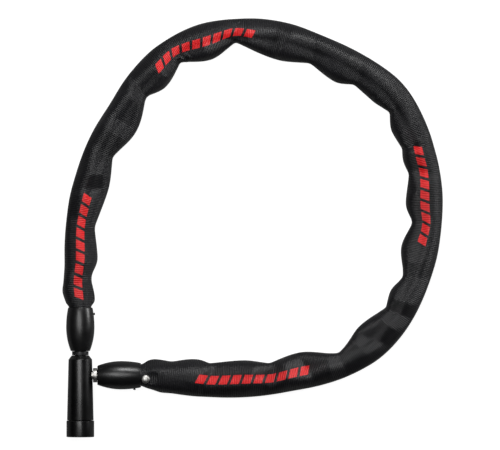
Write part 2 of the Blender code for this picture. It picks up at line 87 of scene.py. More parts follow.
BARREL_X = middle("housing_cover")[0]
BOLT_Y = middle("bolt")[1]
AXIS_Z = middle("housing_cover")[2]
LOCK_CENTRE = (BARREL_X, BOLT_Y, AXIS_Z)     # where the bolt's axis meets the barrel's
FIXED_PIN = np.array((*middle("fixed_chain_pin")[:2], AXIS_Z))
FREE_PIN = np.array((*middle("free_chain_pin")[:2], AXIS_Z))
FIXED_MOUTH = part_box("fixed_cap")[1].y / MM
FREE_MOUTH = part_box("free_cap")[1].x / MM
SMALL_END_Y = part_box("fixed_cap")[0].y / MM
SMALL_END_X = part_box("free_cap")[0].x / MM
RIVET = middle("sleeve_rivet")
LINK_COUNT = 37

# The sleeve's cloth
RIB_PITCH = 1.75
THREAD_PITCH = 1.3
AROUND = 97.0                    # round the tube, cut flat
AROUND_IN_CAP = 61.0             # what a cap's mouth leaves of it
LENGTH = 1042.0                  # along the tube, cut flat
SHEET_WIDTH = AROUND * MM        # in metres
WALL = 0.9

# Its first shape
CORE = 9.6                       # from the chain's middle to the outside of a tight sleeve
IN_CAP_R = 9.8                   # the tube's radius inside a cap
TUCK = 6.0                       # how far the sleeve goes into a cap
GATHER = 5.0                     # the length over which it widens from a cap
FLOOR_GAP = 0.3                  # the cloth's lowest level
SLACK_LEVEL, SLACK_HALF = 10.4, 9.4   # middle level and half height where it is slack, at the inner edge
BOXY = 0.72                      # 1 makes the section an ellipse, less makes it boxier
PINCH_SHARPNESS = 0.85           # 0 rounds the outline at a pinch, 1 makes it a corner
OUTER_EXTRA = 0.5                # the outer edge starts this far outside its listed reach
OUTER_PATH = 11.0                # about how far from the chain its cut length is laid out

# How it settles
RINGS, SIDES = 520, 48           # of the grid that settles; the finished one has twice as many rings
ROUNDS = 170
SETTLE = 0.012                   # how far its weight moves it down in each round
STRETCHED = 0.8                  # how firmly the cloth resists being stretched
ALONG_PRESSED, AROUND_PRESSED = 0.06, 0.25   # and being pressed together
SHEAR = 0.1
BENDING = 0.25
EVENNESS, SLACK_EVENNESS = 0.04, 1.2   # smoothing, and how much more of it the inner edge gets
LEAST_GAP = 2.2                  # between the upper and the lower side
EDGE_HOLD = 0.6                  # how firmly the two edges keep their outlines while the cloth settles

# Its creases
PANEL_LENGTH = 46.0              # about how far apart two creases are
RIDGES = (3.6, 7.6)              # the least and greatest height of a ridge between two creases
CREASES = (-0.5, 0.4)            # and of a crease
RIDGE_PLACE = (0.22, 0.78)       # where a ridge stands, as a share of the way between two creases
CREASE_LEAN, RIDGE_LEAN = 0.7, 0.5    # the greatest slope of each across the sleeve
LEAN_ABOUT = 8.0                 # they lean about this line, inwards of the chain
CREASE_SHARE = (0.7, 1.2)        # of their height that they have on the outer side and on the inner one
CREASE_SIDES = (-6.0, 14.0)      # where those two sides are, inwards of the chain
CREASE_CLEAR, CREASE_RISE = 3.0, 12.0    # none this near a cap, and their full height this much further on
CREASE_ROUNDING, ROUNDINGS = 0.4, 2      # how much a round of smoothing softens them, and how many rounds

# The dimple that the sleeve rivet makes
RIVET_SEAT = AXIS_Z + 9.7        # the fabric's top under the rivet's head
DIMPLE_R, DIMPLE_REACH = 3.6, 12.0    # its flat middle, and as far as it is felt

# Spans round the hinges: this far each way from a hinge of the chain, and this far from the pins at its ends
BEND_REACH = 34.0
END_BEND = (9.0, 44.0)

# How far the sleeve's two edges lie from the chain's middle line, at distances along it from the fixed pin.
# The inner edge is slack: it alternates between the pinches where it folds in and the bulges between them.
INNER_EDGE = (
    (0, 9.8), (5, 10.2), (15, 14), (36, 10.2), (54, 18), (84, 14.2), (125, 22), (156, 16.2), (189, 24.5),
    (225, 13.8), (246, 21.5), (274, 13.5), (306, 22.5), (336, 10.8), (384, 23.8), (414, 17.5), (444, 24),
    (463, 17.2), (489, 19.5), (512, 14), (531, 21.2), (552, 18.5), (564, 20.2), (578, 17.2), (609, 23.5),
    (628, 16.2), (654, 24), (684, 12.5), (702, 19.2), (720, 15.2), (753, 22.5), (789, 10.2), (828, 23.5),
    (858, 18.2), (885, 23), (918, 19.5), (930, 21.8), (954, 15.5), (968, 16.2), (984, 10.0), (989, 9.8),
)
OUTER_EDGE = (
    (0, 9.8), (6, 10.6), (12, 13.5), (24, 16), (36, 13.8), (50, 12.5), (100, 12), (130, 10.8), (195, 9.9),
    (258, 12.2), (276, 10.8), (306, 12), (336, 10.5), (360, 12.2), (425, 10.3), (505, 11.5), (555, 10.3),
    (575, 11.2), (640, 10.2), (700, 11), (744, 12.5), (786, 11.5), (835, 10.3), (910, 11.5), (948, 13.3),
    (960, 14), (972, 11.5), (982, 10.6), (989, 9.8),
)
PRINTS = ((17, 118), (252, 355), (554, 651), (822, 932))   # where the red bars start and stop along the chain
PRINT_HEIGHT, PRINT_PITCH, PRINT_BAR, PRINT_SLANT = 9.0, 11.4, 8.4, 0.40
PRINT_AT = 25.0                                            # from the outer edge round to the bars' middle

TOOL_MARK_PITCH = 0.35                                     # on turned metal

# Floor, light and camera, in metres and watts
FLOOR_GLOW, FLOOR_BOUNCE = 0.94, 0.04        # how bright the floor is to the camera, and to the lock
FLOOR_SIZE = 3.0
WORLD_LIGHT = 0.012
LIGHTS = (                                   # name, direction to it, distance, size, power
    ("key", (-0.23, 0.06, 1.0), 1.5, (0.45, 0.80), 9.5),
    ("back", (0.05, 0.90, 0.85), 1.6, (0.70, 0.35), 16.0),
    ("side", (0.95, 0.30, 0.30), 1.6, (0.5, 0.4), 13.0),
)
VIEW_WIDTH = 0.465
CAMERA_HEIGHT = 6.0
VIEW_MIDDLE = (-0.0041, 0.0030)
SENSOR_WIDTH = 36.0                          # in millimetres

# ---------------------------------------------------------------- materials


class Recipe:
    """A Principled material and short ways to add nodes to it."""

    def __init__(self, name, colour, roughness, metallic=0.0, **constants):
        self.material = bpy.data.materials.new(name)
        self.material.use_nodes = True
        self.tree = self.material.node_tree
        self.shader = self.tree.nodes["Principled BSDF"]
        self.set("Base Color", (*colour, 1.0))
        self.set("Roughness", roughness)
        self.set("Metallic", metallic)
        for socket, value in constants.items():
            self.set(socket.replace("_", " ").title().replace("Ior", "IOR"), value)

    def set(self, socket, value):
        self.shader.inputs[socket].default_value = value

    def node(self, kind, settings=None, **inputs):
        """A new node; inputs named i0, i1 and so on go by number, and a value may be a node's socket."""
        made = self.tree.nodes.new(kind)
        for key, value in (settings or {}).items():
            setattr(made, key, value)
        for key, value in inputs.items():
            numbered = key[0] == "i" and key[1:].isdigit()
            socket = made.inputs[int(key[1:]) if numbered else key]
            if isinstance(value, bpy.types.NodeSocket):
                self.tree.links.new(value, socket)
            else:
                socket.default_value = value
        return made

    def math(self, operation, first, second=0.0, third=0.0):
        return self.node("ShaderNodeMath", {"operation": operation}, i0=first, i1=second, i2=third).outputs[0]

    def clamp(self, value):
        return self.node("ShaderNodeClamp", Value=value).outputs[0]

    def noise(self, vector, scale, detail=3.0):
        made = self.node("ShaderNodeTexNoise", Scale=scale, Detail=detail, Vector=vector)
        return made.outputs["Fac"]

    def place(self):
        return self.node("ShaderNodeTexCoord").outputs["Object"]

    def mix(self, share, first, second):
        """A mix of two colours, which may be sockets."""
        made = self.node("ShaderNodeMix", {"data_type": "RGBA"})
        for slot, value in ((0, share), (6, first), (7, second)):
            if isinstance(value, bpy.types.NodeSocket):
                self.tree.links.new(value, made.inputs[slot])
            else:
                made.inputs[slot].default_value = value if slot == 0 else (*value, 1.0)
        return made.outputs[2]

    def range(self, value, low, high, to_low, to_high):
        made = self.node("ShaderNodeMapRange", Value=value)
        limits = {"From Min": low, "From Max": high, "To Min": to_low, "To Max": to_high}
        for key, number in limits.items():
            made.inputs[key].default_value = number
        return made.outputs[0]

    def link(self, value, socket):
        self.tree.links.new(value, self.shader.inputs[socket])

    def bump(self, height, distance, strength=1.0):
        made = self.node("ShaderNodeBump", Height=height, Strength=strength, Distance=distance)
        self.link(made.outputs[0], "Normal")


def moulded_plastic(name, colour, roughness):
    """Satin black plastic: a fine spark-eroded grain, and a little unevenness in its gloss."""
    recipe = Recipe(name, colour, roughness, specular_ior_level=0.5)
    place = recipe.place()
    cloudy = recipe.noise(place, 90.0)
    grain = recipe.noise(place, 2600.0, 2.0)
    recipe.link(recipe.range(cloudy, 0.3, 0.7, roughness - 0.04, roughness + 0.05), "Roughness")
    light = tuple(c * 1.5 for c in colour)
    recipe.link(recipe.mix(recipe.range(cloudy, 0.35, 0.75, 0.0, 1.0), colour, light), "Base Color")
    recipe.bump(grain, 0.00004, 0.35)
    return recipe.material


def painted_metal(name, colour, roughness):
    """Black powder coat with a soft orange-peel skin."""
    recipe = Recipe(name, colour, roughness, specular_ior_level=0.5)
    place = recipe.place()
    peel = recipe.noise(place, 700.0, 2.0)
    cloudy = recipe.noise(place, 60.0)
    recipe.link(recipe.range(cloudy, 0.3, 0.7, roughness - 0.03, roughness + 0.05), "Roughness")
    recipe.bump(peel, 0.00005, 0.3)
    return recipe.material


def turned_steel(name, colour, roughness, metallic=1.0, axis=0):
    """Metal with fine tool marks across one axis, and slightly cloudy."""
    recipe = Recipe(name, colour, roughness, metallic)
    place = recipe.place()
    parts = recipe.node("ShaderNodeSeparateXYZ", Vector=place)
    along = recipe.math("MULTIPLY", parts.outputs[axis], 2 * math.pi / (TOOL_MARK_PITCH * MM))
    marks = recipe.math("SINE", recipe.math("ADD", along, recipe.noise(place, 240.0)))
    cloudy = recipe.noise(place, 150.0)
    darker = tuple(c * 0.72 for c in colour)
    recipe.link(recipe.mix(recipe.range(cloudy, 0.3, 0.7, 0.0, 1.0), darker, colour), "Base Color")
    recipe.link(recipe.range(cloudy, 0.3, 0.7, roughness - 0.05, roughness + 0.08), "Roughness")
    recipe.bump(marks, 0.00001, 0.25)
    return recipe.material


def sleeve_fabric(prints):
    """Black ribbed weave: ribs across the tube, fine threads along it, and red bars between these lengths.
    The rib tops get a painted highlight, stronger and weaker in random patches.
    """
    recipe = Recipe("sleeve_fabric", (0.02, 0.02, 0.023), 0.5, specular_ior_level=0.40,
                    sheen_weight=0.03, sheen_roughness=0.35)
    uv = recipe.node("ShaderNodeUVMap", {"uv_map": "weave"}).outputs[0]
    parts = recipe.node("ShaderNodeSeparateXYZ", Vector=uv)
    along, around = parts.outputs[0], parts.outputs[1]
    place = recipe.place()
    uneven = recipe.noise(place, 420.0, 2.0)
    # random patches in which the painted highlight on the rib tops is stronger or weaker
    highlight_patches = recipe.noise(place, 34.0, 3.0)
    wobble = recipe.math("MULTIPLY", uneven, 0.9)
    rib_phase = recipe.math("MULTIPLY", along, 2 * math.pi / (RIB_PITCH * MM))
    rib = recipe.math("SINE", recipe.math("ADD", rib_phase, wobble))
    rib = recipe.math("MULTIPLY_ADD", rib, 0.5, 0.5)
    thread = recipe.math("SINE", recipe.math("MULTIPLY", around, 2 * math.pi / (THREAD_PITCH * MM)))
    thread = recipe.math("MULTIPLY_ADD", thread, 0.5, 0.5)
    height = recipe.math("MULTIPLY_ADD", thread, recipe.math("MULTIPLY", rib, 0.35), rib)
    recipe.bump(height, 0.00028, 0.9)
    # painted highlight: the rib tops get a lighter base colour, as if they caught the light; the same share
    # makes them glossier
    painted_rib_highlight = recipe.math("MULTIPLY", recipe.math("POWER", rib, 2.0),
                      recipe.math("MULTIPLY_ADD", thread, 0.45, 0.55))
    painted_rib_highlight = recipe.math("MULTIPLY", painted_rib_highlight, recipe.range(highlight_patches, 0.3, 0.7, 0.6, 1.25))
    cloth = recipe.mix(recipe.clamp(painted_rib_highlight), (0.0006, 0.0006, 0.001), (0.018, 0.018, 0.022))
    # the red print is real; its being lighter on the rib tops and darker between them is painted highlight
    # and shade
    ink = recipe.mix(rib, (0.52, 0.006, 0.008), (0.83, 0.020, 0.022))
    recipe.link(recipe.mix(print_mask(recipe, prints, along, around), cloth, ink), "Base Color")
    recipe.link(recipe.range(painted_rib_highlight, 0.0, 1.0, 0.46, 0.25), "Roughness")
    return recipe.material


def print_mask(recipe, prints, along, around):
    """1 on the slanted bars: even stripes within each print's start and stop, PRINT_HEIGHT tall."""
    up = recipe.math("SUBTRACT", around, PRINT_AT * MM)
    leaning = recipe.math("MULTIPLY_ADD", up, PRINT_SLANT, along)
    total = None
    for start, stop in prints:
        cells = recipe.math("DIVIDE", recipe.math("SUBTRACT", leaning, start * MM), PRINT_PITCH * MM)
        number = recipe.math("FLOOR", cells)
        count = round((stop - start) / PRINT_PITCH)
        inside = recipe.math("MULTIPLY", recipe.math("GREATER_THAN", number, -0.5),
                             recipe.math("LESS_THAN", number, count - 0.5))
        bar = recipe.math("LESS_THAN", recipe.math("FRACT", cells), PRINT_BAR / PRINT_PITCH)
        one = recipe.math("MULTIPLY", inside, bar)
        total = one if total is None else recipe.math("ADD", total, one)
    tall = recipe.math("LESS_THAN", recipe.math("ABSOLUTE", up), PRINT_HEIGHT * MM / 2)
    return recipe.math("MULTIPLY", total, tall)


def pale_floor():
    """Near-white, seamless card that glows to the camera, and lights the lock a little."""
    recipe = Recipe("floor_card", (0.22, 0.22, 0.22), 0.8, specular_ior_level=0.1)
    fibre = recipe.noise(recipe.place(), 220.0)
    share = recipe.range(fibre, 0.3, 0.7, 0.0, 1.0)
    recipe.link(recipe.mix(share, (0.21, 0.21, 0.21), (0.23, 0.23, 0.23)), "Base Color")
    recipe.set("Emission Color", (1.0, 1.0, 1.0, 1.0))
    seen = recipe.node("ShaderNodeLightPath").outputs["Is Camera Ray"]
    recipe.link(recipe.range(seen, 0.0, 1.0, FLOOR_BOUNCE, FLOOR_GLOW), "Emission Strength")
    return recipe.material


# ---------------------------------------------------------------- meshes


def piece(name, mesh, material):
    """A visible object with one material."""
    made = bpy.data.objects.new(name, mesh)
    bpy.context.scene.collection.objects.link(made)
    mesh.materials.append(material)
    return made


ARC_STEPS = 5
SHARP_ANGLE = math.radians(35)


def rounded(profile, radii):
    """A profile of (radius, height) corners with the corners named in radii, by number, rounded by arcs."""
    out = []
    count = len(profile)
    for number, corner in enumerate(profile):
        size = radii.get(number, 0.0)
        if not size:
            out.append(corner)
            continue
        here = Vector(corner)
        before, after = Vector(profile[number - 1]), Vector(profile[(number + 1) % count])
        to_before, to_after = (before - here).normalized(), (after - here).normalized()
        half = to_before.angle(to_after) / 2
        run = min(size / math.tan(half), (before - here).length * 0.49, (after - here).length * 0.49)
        reach = run * math.tan(half)
        centre = here + (to_before + to_after).normalized() * (run ** 2 + reach ** 2) ** 0.5
        first, last = here + to_before * run - centre, here + to_after * run - centre
        for step in range(ARC_STEPS + 1):
            share = step / ARC_STEPS
            spoke = (first * (1 - share) + last * share).normalized() * reach
            out.append(tuple(centre + spoke))
    return out


def turned(name, profile, at, turn, closed=True, segments=96):
    """A profile of (radius, height) points spun about its height, then turned and moved.

    A closed profile runs back to its start; an open one starts and ends on the axis.
    """
    shape = bmesh.new()
    rings = []
    for radius, height in profile:
        if radius < 1e-6:
            rings.append([shape.verts.new((0, 0, height))])
            continue
        ring = []
        for k in range(segments):
            angle = 2 * math.pi * k / segments
            ring.append(shape.verts.new((radius * math.cos(angle), radius * math.sin(angle), height)))
        rings.append(ring)
    pairs = list(zip(rings, rings[1:]))
    if closed:
        pairs.append((rings[-1], rings[0]))
    for first, second in pairs:
        for k in range(segments):
            after = (k + 1) % segments
            corners = [first[k % len(first)], first[after % len(first)],
                       second[after % len(second)], second[k % len(second)]]
            unique = list(dict.fromkeys(corners))
            if len(unique) > 2:
                shape.faces.new(unique)
    bmesh.ops.recalc_face_normals(shape, faces=shape.faces)
    move = Matrix.Translation(Vector(at)) @ turn
    bmesh.ops.transform(shape, matrix=Matrix.Scale(MM, 4) @ move, verts=shape.verts)
    mesh = bpy.data.meshes.new(name)
    shape.to_mesh(mesh)
    shape.free()
    mesh.shade_smooth()
    mesh.set_sharp_from_angle(angle=SHARP_ANGLE)
    return mesh


ALONG_X = Matrix.Rotation(math.radians(90), 4, "Y")
ALONG_Y = Matrix.Rotation(math.radians(-90), 4, "X")
AGAINST_Y = Matrix.Rotation(math.radians(90), 4, "X")
ALONG_Z = Matrix.Identity(4)


def cut(target, cutter_mesh, name):
    """Takes a closed mesh away from a piece and keeps the result as its mesh."""
    cutter = bpy.data.objects.new(name, cutter_mesh)
    bpy.context.scene.collection.objects.link(cutter)
    boolean = target.modifiers.new(name, "BOOLEAN")
    boolean.object = cutter
    boolean.solver = "EXACT"
    bpy.context.view_layer.update()
    evaluated = target.evaluated_get(bpy.context.evaluated_depsgraph_get())
    result = bpy.data.meshes.new_from_object(evaluated)
    target.modifiers.clear()
    result.name = target.name
    target.data = result
    bpy.data.objects.remove(cutter)
    target.data.shade_smooth()
    target.data.set_sharp_from_angle(angle=SHARP_ANGLE)


# ---------------------------------------------------------------- the turned pieces

CAP_LENGTH = FIXED_MOUTH - SMALL_END_Y
CAP_WALL = 1.2
CAP_FLOOR = 1.8                                            # the small end's thickness
CAP_END_R, CAP_BELLY_R, CAP_MOUTH_R = 8.9, 13.2, 11.4
CAP_BELLY_AT = 0.545                                       # share of its length from the small end
CAP_STEPS, LIP_STEPS = 28, 8
CAP_RIVET_BACK = 5.9                                       # from the mouth
# (radius, distance from the cap's axis)
CAP_RIVET = ((0, 13.8), (0.5, 13.75), (0.95, 13.5), (1.25, 13.1), (1.3, 12.7), (0.8, 12.7), (0.8, 10.3),
             (0, 10.3))

# Profiles on the barrel's axis and on the bolt's: (radius, place from where the two axes meet). The rounded
# corners follow each, by number, with their radii.
COVER_END, COVER_BORE = -41.8, 9.4
COVER = ((5.6, 18.4), (8.0, 18.4), (11.0, 14.6), (12.35, COVER_END), (COVER_BORE, COVER_END),
         (COVER_BORE, 13.0), (5.6, 15.2))
COVER_CORNERS = {1: 0.6, 2: 0.9, 3: 0.35}
BOLT_HOLE = ((0, 20.0), (4.3, 20.0), (4.3, 8.0), (0, 8.0))
RING_START, RING_FLOOR, RING_END = -42.2, -54.0, -57.4
RING = ((COVER_BORE, RING_START), (12.5, RING_START), (12.9, -42.6), (12.9, RING_END), (6.9, RING_END),
        (6.9, RING_FLOOR), (COVER_BORE, RING_FLOOR))
RING_CORNERS = {1: 0.2, 2: 0.2, 3: 0.5, 4: 0.3}
BUSH = ((5.3, 22.2), (7.7, 22.2), (7.7, 18.7), (5.3, 18.7))
BUSH_CORNERS = {1: 0.3, 2: 0.3}
BOLT = (
    (0, 27.2), (5.3, 27.2), (5.3, 24.2),                   # head, held in its socket
    (4.5, 24.2), (4.5, 15.6),                              # shank
    (6.7, 15.6), (6.7, 11.9),                              # collar
    (4.0, 11.9), (4.0, 2.3), (2.5, 2.3), (2.5, -2.3), (4.0, -2.3),   # shaft, and the neck for the latch
    (4.0, -6.3), (2.8, -7.5), (0, -7.5),                   # nose
)
BOLT_CORNERS = {5: 0.35, 6: 0.35, 8: 0.3, 9: 0.4, 10: 0.4, 11: 0.3, 12: 0.5, 13: 0.4}

# The sleeve rivet's domed head and its shank
DOME_R, DOME_RISE, DOME_RIM, DOME_STEPS = 3.9, 1.65, 0.25, 10
DOME_BASE = 10.2                                           # above the lock's axes
RIVET_SHANK = ((3.75, DOME_BASE), (1.5, DOME_BASE), (1.5, 6.9), (2.3, 6.2), (2.3, 5.3), (1.4, 4.7), (0, 4.7))


def cap_radius(share):
    """The cap's outside radius, from its small end to its mouth."""
    if share < CAP_BELLY_AT:
        return CAP_BELLY_R - (CAP_BELLY_R - CAP_END_R) * ((CAP_BELLY_AT - share) / CAP_BELLY_AT) ** 2
    return CAP_BELLY_R - (CAP_BELLY_R - CAP_MOUTH_R) * ((share - CAP_BELLY_AT) / (1 - CAP_BELLY_AT)) ** 2


def cap_profile(hole_r):
    """The cap's wall as a closed profile, with a rolled mouth and a softened small end."""
    lip = CAP_WALL / 2
    mouth = []
    for step in range(LIP_STEPS + 1):
        angle = math.pi * step / LIP_STEPS
        radius = CAP_MOUTH_R - lip + lip * math.cos(math.pi - angle)
        mouth.append((radius, CAP_LENGTH - lip + lip * math.sin(angle)))
    outside = [(cap_radius(1 - k / CAP_STEPS), CAP_LENGTH * (1 - k / CAP_STEPS)) for k in range(1, CAP_STEPS)]
    small = rounded([(cap_radius(0.03), CAP_LENGTH * 0.03), (CAP_END_R, 0), (hole_r, 0), (hole_r, CAP_FLOOR)],
                    {1: 0.7, 2: 0.25})
    inside = [(cap_radius(k / CAP_STEPS) - CAP_WALL, CAP_LENGTH * k / CAP_STEPS) for k in range(3, CAP_STEPS)]
    return mouth + outside + small[1:] + inside


def stand_in(name, mesh, material, body, node):
    """A piece that moves with a body and is shown instead of a CAD node."""
    made = piece(name, mesh, material)
    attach(made, body)
    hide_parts(node)
    return made


def add_caps(plastic, dark):
    for node, body, turn, at, hole_r in (
        ("fixed_cap", "lock_end", ALONG_Y, (BARREL_X, SMALL_END_Y, AXIS_Z), 5.3),
        ("free_cap", "free_end", ALONG_X, (SMALL_END_X, BOLT_Y, AXIS_Z), 4.8),
    ):
        mesh = turned(f"{node}_shell", cap_profile(hole_r), at, turn)
        stand_in(f"{node}_shell", mesh, plastic, body, node)
    for node, body, turn, at in (
        ("fixed_cap_rivet", "lock_end", ALONG_X, (BARREL_X, FIXED_MOUTH - CAP_RIVET_BACK, AXIS_Z)),
        ("free_cap_rivet", "free_end", AGAINST_Y, (FREE_MOUTH - CAP_RIVET_BACK, BOLT_Y, AXIS_Z)),
    ):
        mesh = turned(f"{node}_head", CAP_RIVET, at, turn, False, 32)
        stand_in(f"{node}_head", mesh, dark, body, node)


def add_barrel(paint, dark):
    cover_mesh = turned("barrel_cover", rounded(COVER, COVER_CORNERS), LOCK_CENTRE, ALONG_Y)
    cover = piece("barrel_cover", cover_mesh, paint)
    cut(cover, turned("bolt_hole", BOLT_HOLE, LOCK_CENTRE, ALONG_X, False, 64), "bolt_hole")
    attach(cover, "lock_end")
    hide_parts("housing_cover")

    ring_mesh = turned("barrel_end_ring", rounded(RING, RING_CORNERS), LOCK_CENTRE, ALONG_Y)
    stand_in("barrel_end_ring", ring_mesh, paint, "lock_end", "end_ring")

    bush_mesh = turned("neck_bush_turned", rounded(BUSH, BUSH_CORNERS), LOCK_CENTRE, ALONG_Y)
    stand_in("neck_bush_turned", bush_mesh, dark, "bush", "neck_bush")


def add_bolt(bright):
    mesh = turned("bolt_turned", rounded(BOLT, BOLT_CORNERS), LOCK_CENTRE, ALONG_X, False)
    stand_in("bolt_turned", mesh, bright, "bolt", "bolt")


def add_sleeve_rivet(bright):
    dome = []
    for step in range(DOME_STEPS + 1):
        angle = math.pi / 2 * step / DOME_STEPS
        dome.append((DOME_R * math.sin(angle), DOME_BASE + DOME_RIM + DOME_RISE * math.cos(angle)))
    at = (RIVET[0], RIVET[1], AXIS_Z)
    mesh = turned("sleeve_rivet_domed", [*dome, *RIVET_SHANK], at, ALONG_Z, False, 48)
    stand_in("sleeve_rivet_domed", mesh, bright, "free_end", "sleeve_rivet")


# ---------------------------------------------------------------- the chain's line


def smooth_line(points, steps=24):
    """A Catmull-Rom curve through points."""
    points = np.vstack([2 * points[0] - points[1], points, 2 * points[-1] - points[-2]])
    out = []
    for a, b, c, d in zip(points, points[1:], points[2:], points[3:]):
        for t in np.linspace(0, 1, steps, endpoint=False):
            out.append(0.5 * (2 * b + (c - a) * t + (2 * a - 5 * b + 4 * c - d) * t ** 2
                              + (3 * b - a - 3 * c + d) * t ** 3))
    return np.array(out + [points[-2]])


def lengths(line):
    """How far each point is along its line."""
    return np.concatenate([[0.0], np.cumsum(np.linalg.norm(np.diff(line, axis=0), axis=1))])


def at_distance(line, walked, distances):
    return np.stack([np.interp(distances, walked, line[:, axis]) for axis in range(3)], axis=1)


class Chain:
    """The chain's middle line, with the inward and along directions at any distance from the fixed pin."""

    def __init__(self):
        centres = [middle(f"link_{number:02d}") for number in range(1, LINK_COUNT + 1)]
        self.line = smooth_line(np.array([FIXED_PIN, *centres, FREE_PIN]))
        self.walked = lengths(self.line)
        self.length = self.walked[-1]

    def at(self, distances):
        return at_distance(self.line, self.walked, distances)

    def along(self, distances, reach=7.0):
        ahead = self.at(np.minimum(distances + reach, self.length))
        step = ahead - self.at(np.maximum(distances - reach, 0.0))
        step[:, 2] = 0.0
        return step / np.linalg.norm(step, axis=1, keepdims=True)

    def inward(self, distances):
        along = self.along(distances)
        return np.stack([along[:, 1], -along[:, 0], np.zeros(len(along))], axis=1)

    def nearest(self, point):
        """The distance along the chain of its nearest place to a point."""
        gaps = np.linalg.norm(self.line[:, :2] - np.asarray(point)[:2], axis=1)
        return self.walked[int(gaps.argmin())]


# ---------------------------------------------------------------- the sleeve


def smoothstep(t):
    t = np.clip(t, 0.0, 1.0)
    return t * t * (3 - 2 * t)


def edge_reach(edge, distances, sharp):
    """An edge's distance from the chain: round over the bulges, and sharper at the pinches between them."""
    places = np.array([p for p, _ in edge], float)
    reaches = np.array([r for _, r in edge], float)
    number = np.clip(np.searchsorted(places, distances, side="right") - 1, 0, len(places) - 2)
    share = (distances - places[number]) / (places[number + 1] - places[number])
    first, second = reaches[number], reaches[number + 1]
    rising = second > first
    from_pinch = np.clip(np.where(rising, share, 1 - share), 0, 1)
    arch = (1 - sharp) * smoothstep(from_pinch) + sharp * np.sin(np.pi / 2 * from_pinch)
    return np.minimum(first, second) + np.abs(second - first) * arch


def section(outside, inside, height, round_share):
    """The sleeve's ring as (inward, up) points: boxy, from the floor to above the chain; round in a cap."""
    angles = np.linspace(0, 2 * np.pi, 241)[:-1]
    across, up = -np.cos(angles), np.sin(angles)
    boxy = np.sign(across) * np.abs(across) ** BOXY
    flat = np.where(across > 0, inside * boxy, outside * boxy)
    lean = smoothstep(np.clip(across, 0, 1)) * (1 - round_share)
    level = height + (SLACK_LEVEL - height) * lean
    tight_half = height - FLOOR_GAP
    half = tight_half + (SLACK_HALF - tight_half) * lean
    tall = level + half * np.sign(up) * np.abs(up) ** BOXY
    flat = flat * (1 - round_share) + IN_CAP_R * across * round_share
    tall = tall * (1 - round_share) + (AXIS_Z + IN_CAP_R * up) * round_share
    return np.stack([flat, tall], axis=1)


def even_ring(points, count):
    """A closed ring resampled at even distances, from its first point, and how long it is."""
    ring = np.vstack([points, points[:1]])
    walked = np.concatenate([[0.0], np.cumsum(np.linalg.norm(np.diff(ring, axis=0), axis=1))])
    at = np.linspace(0, walked[-1], count + 1)[:-1]
    return np.stack([np.interp(at, walked, ring[:, axis]) for axis in (0, 1)], axis=1), walked[-1]


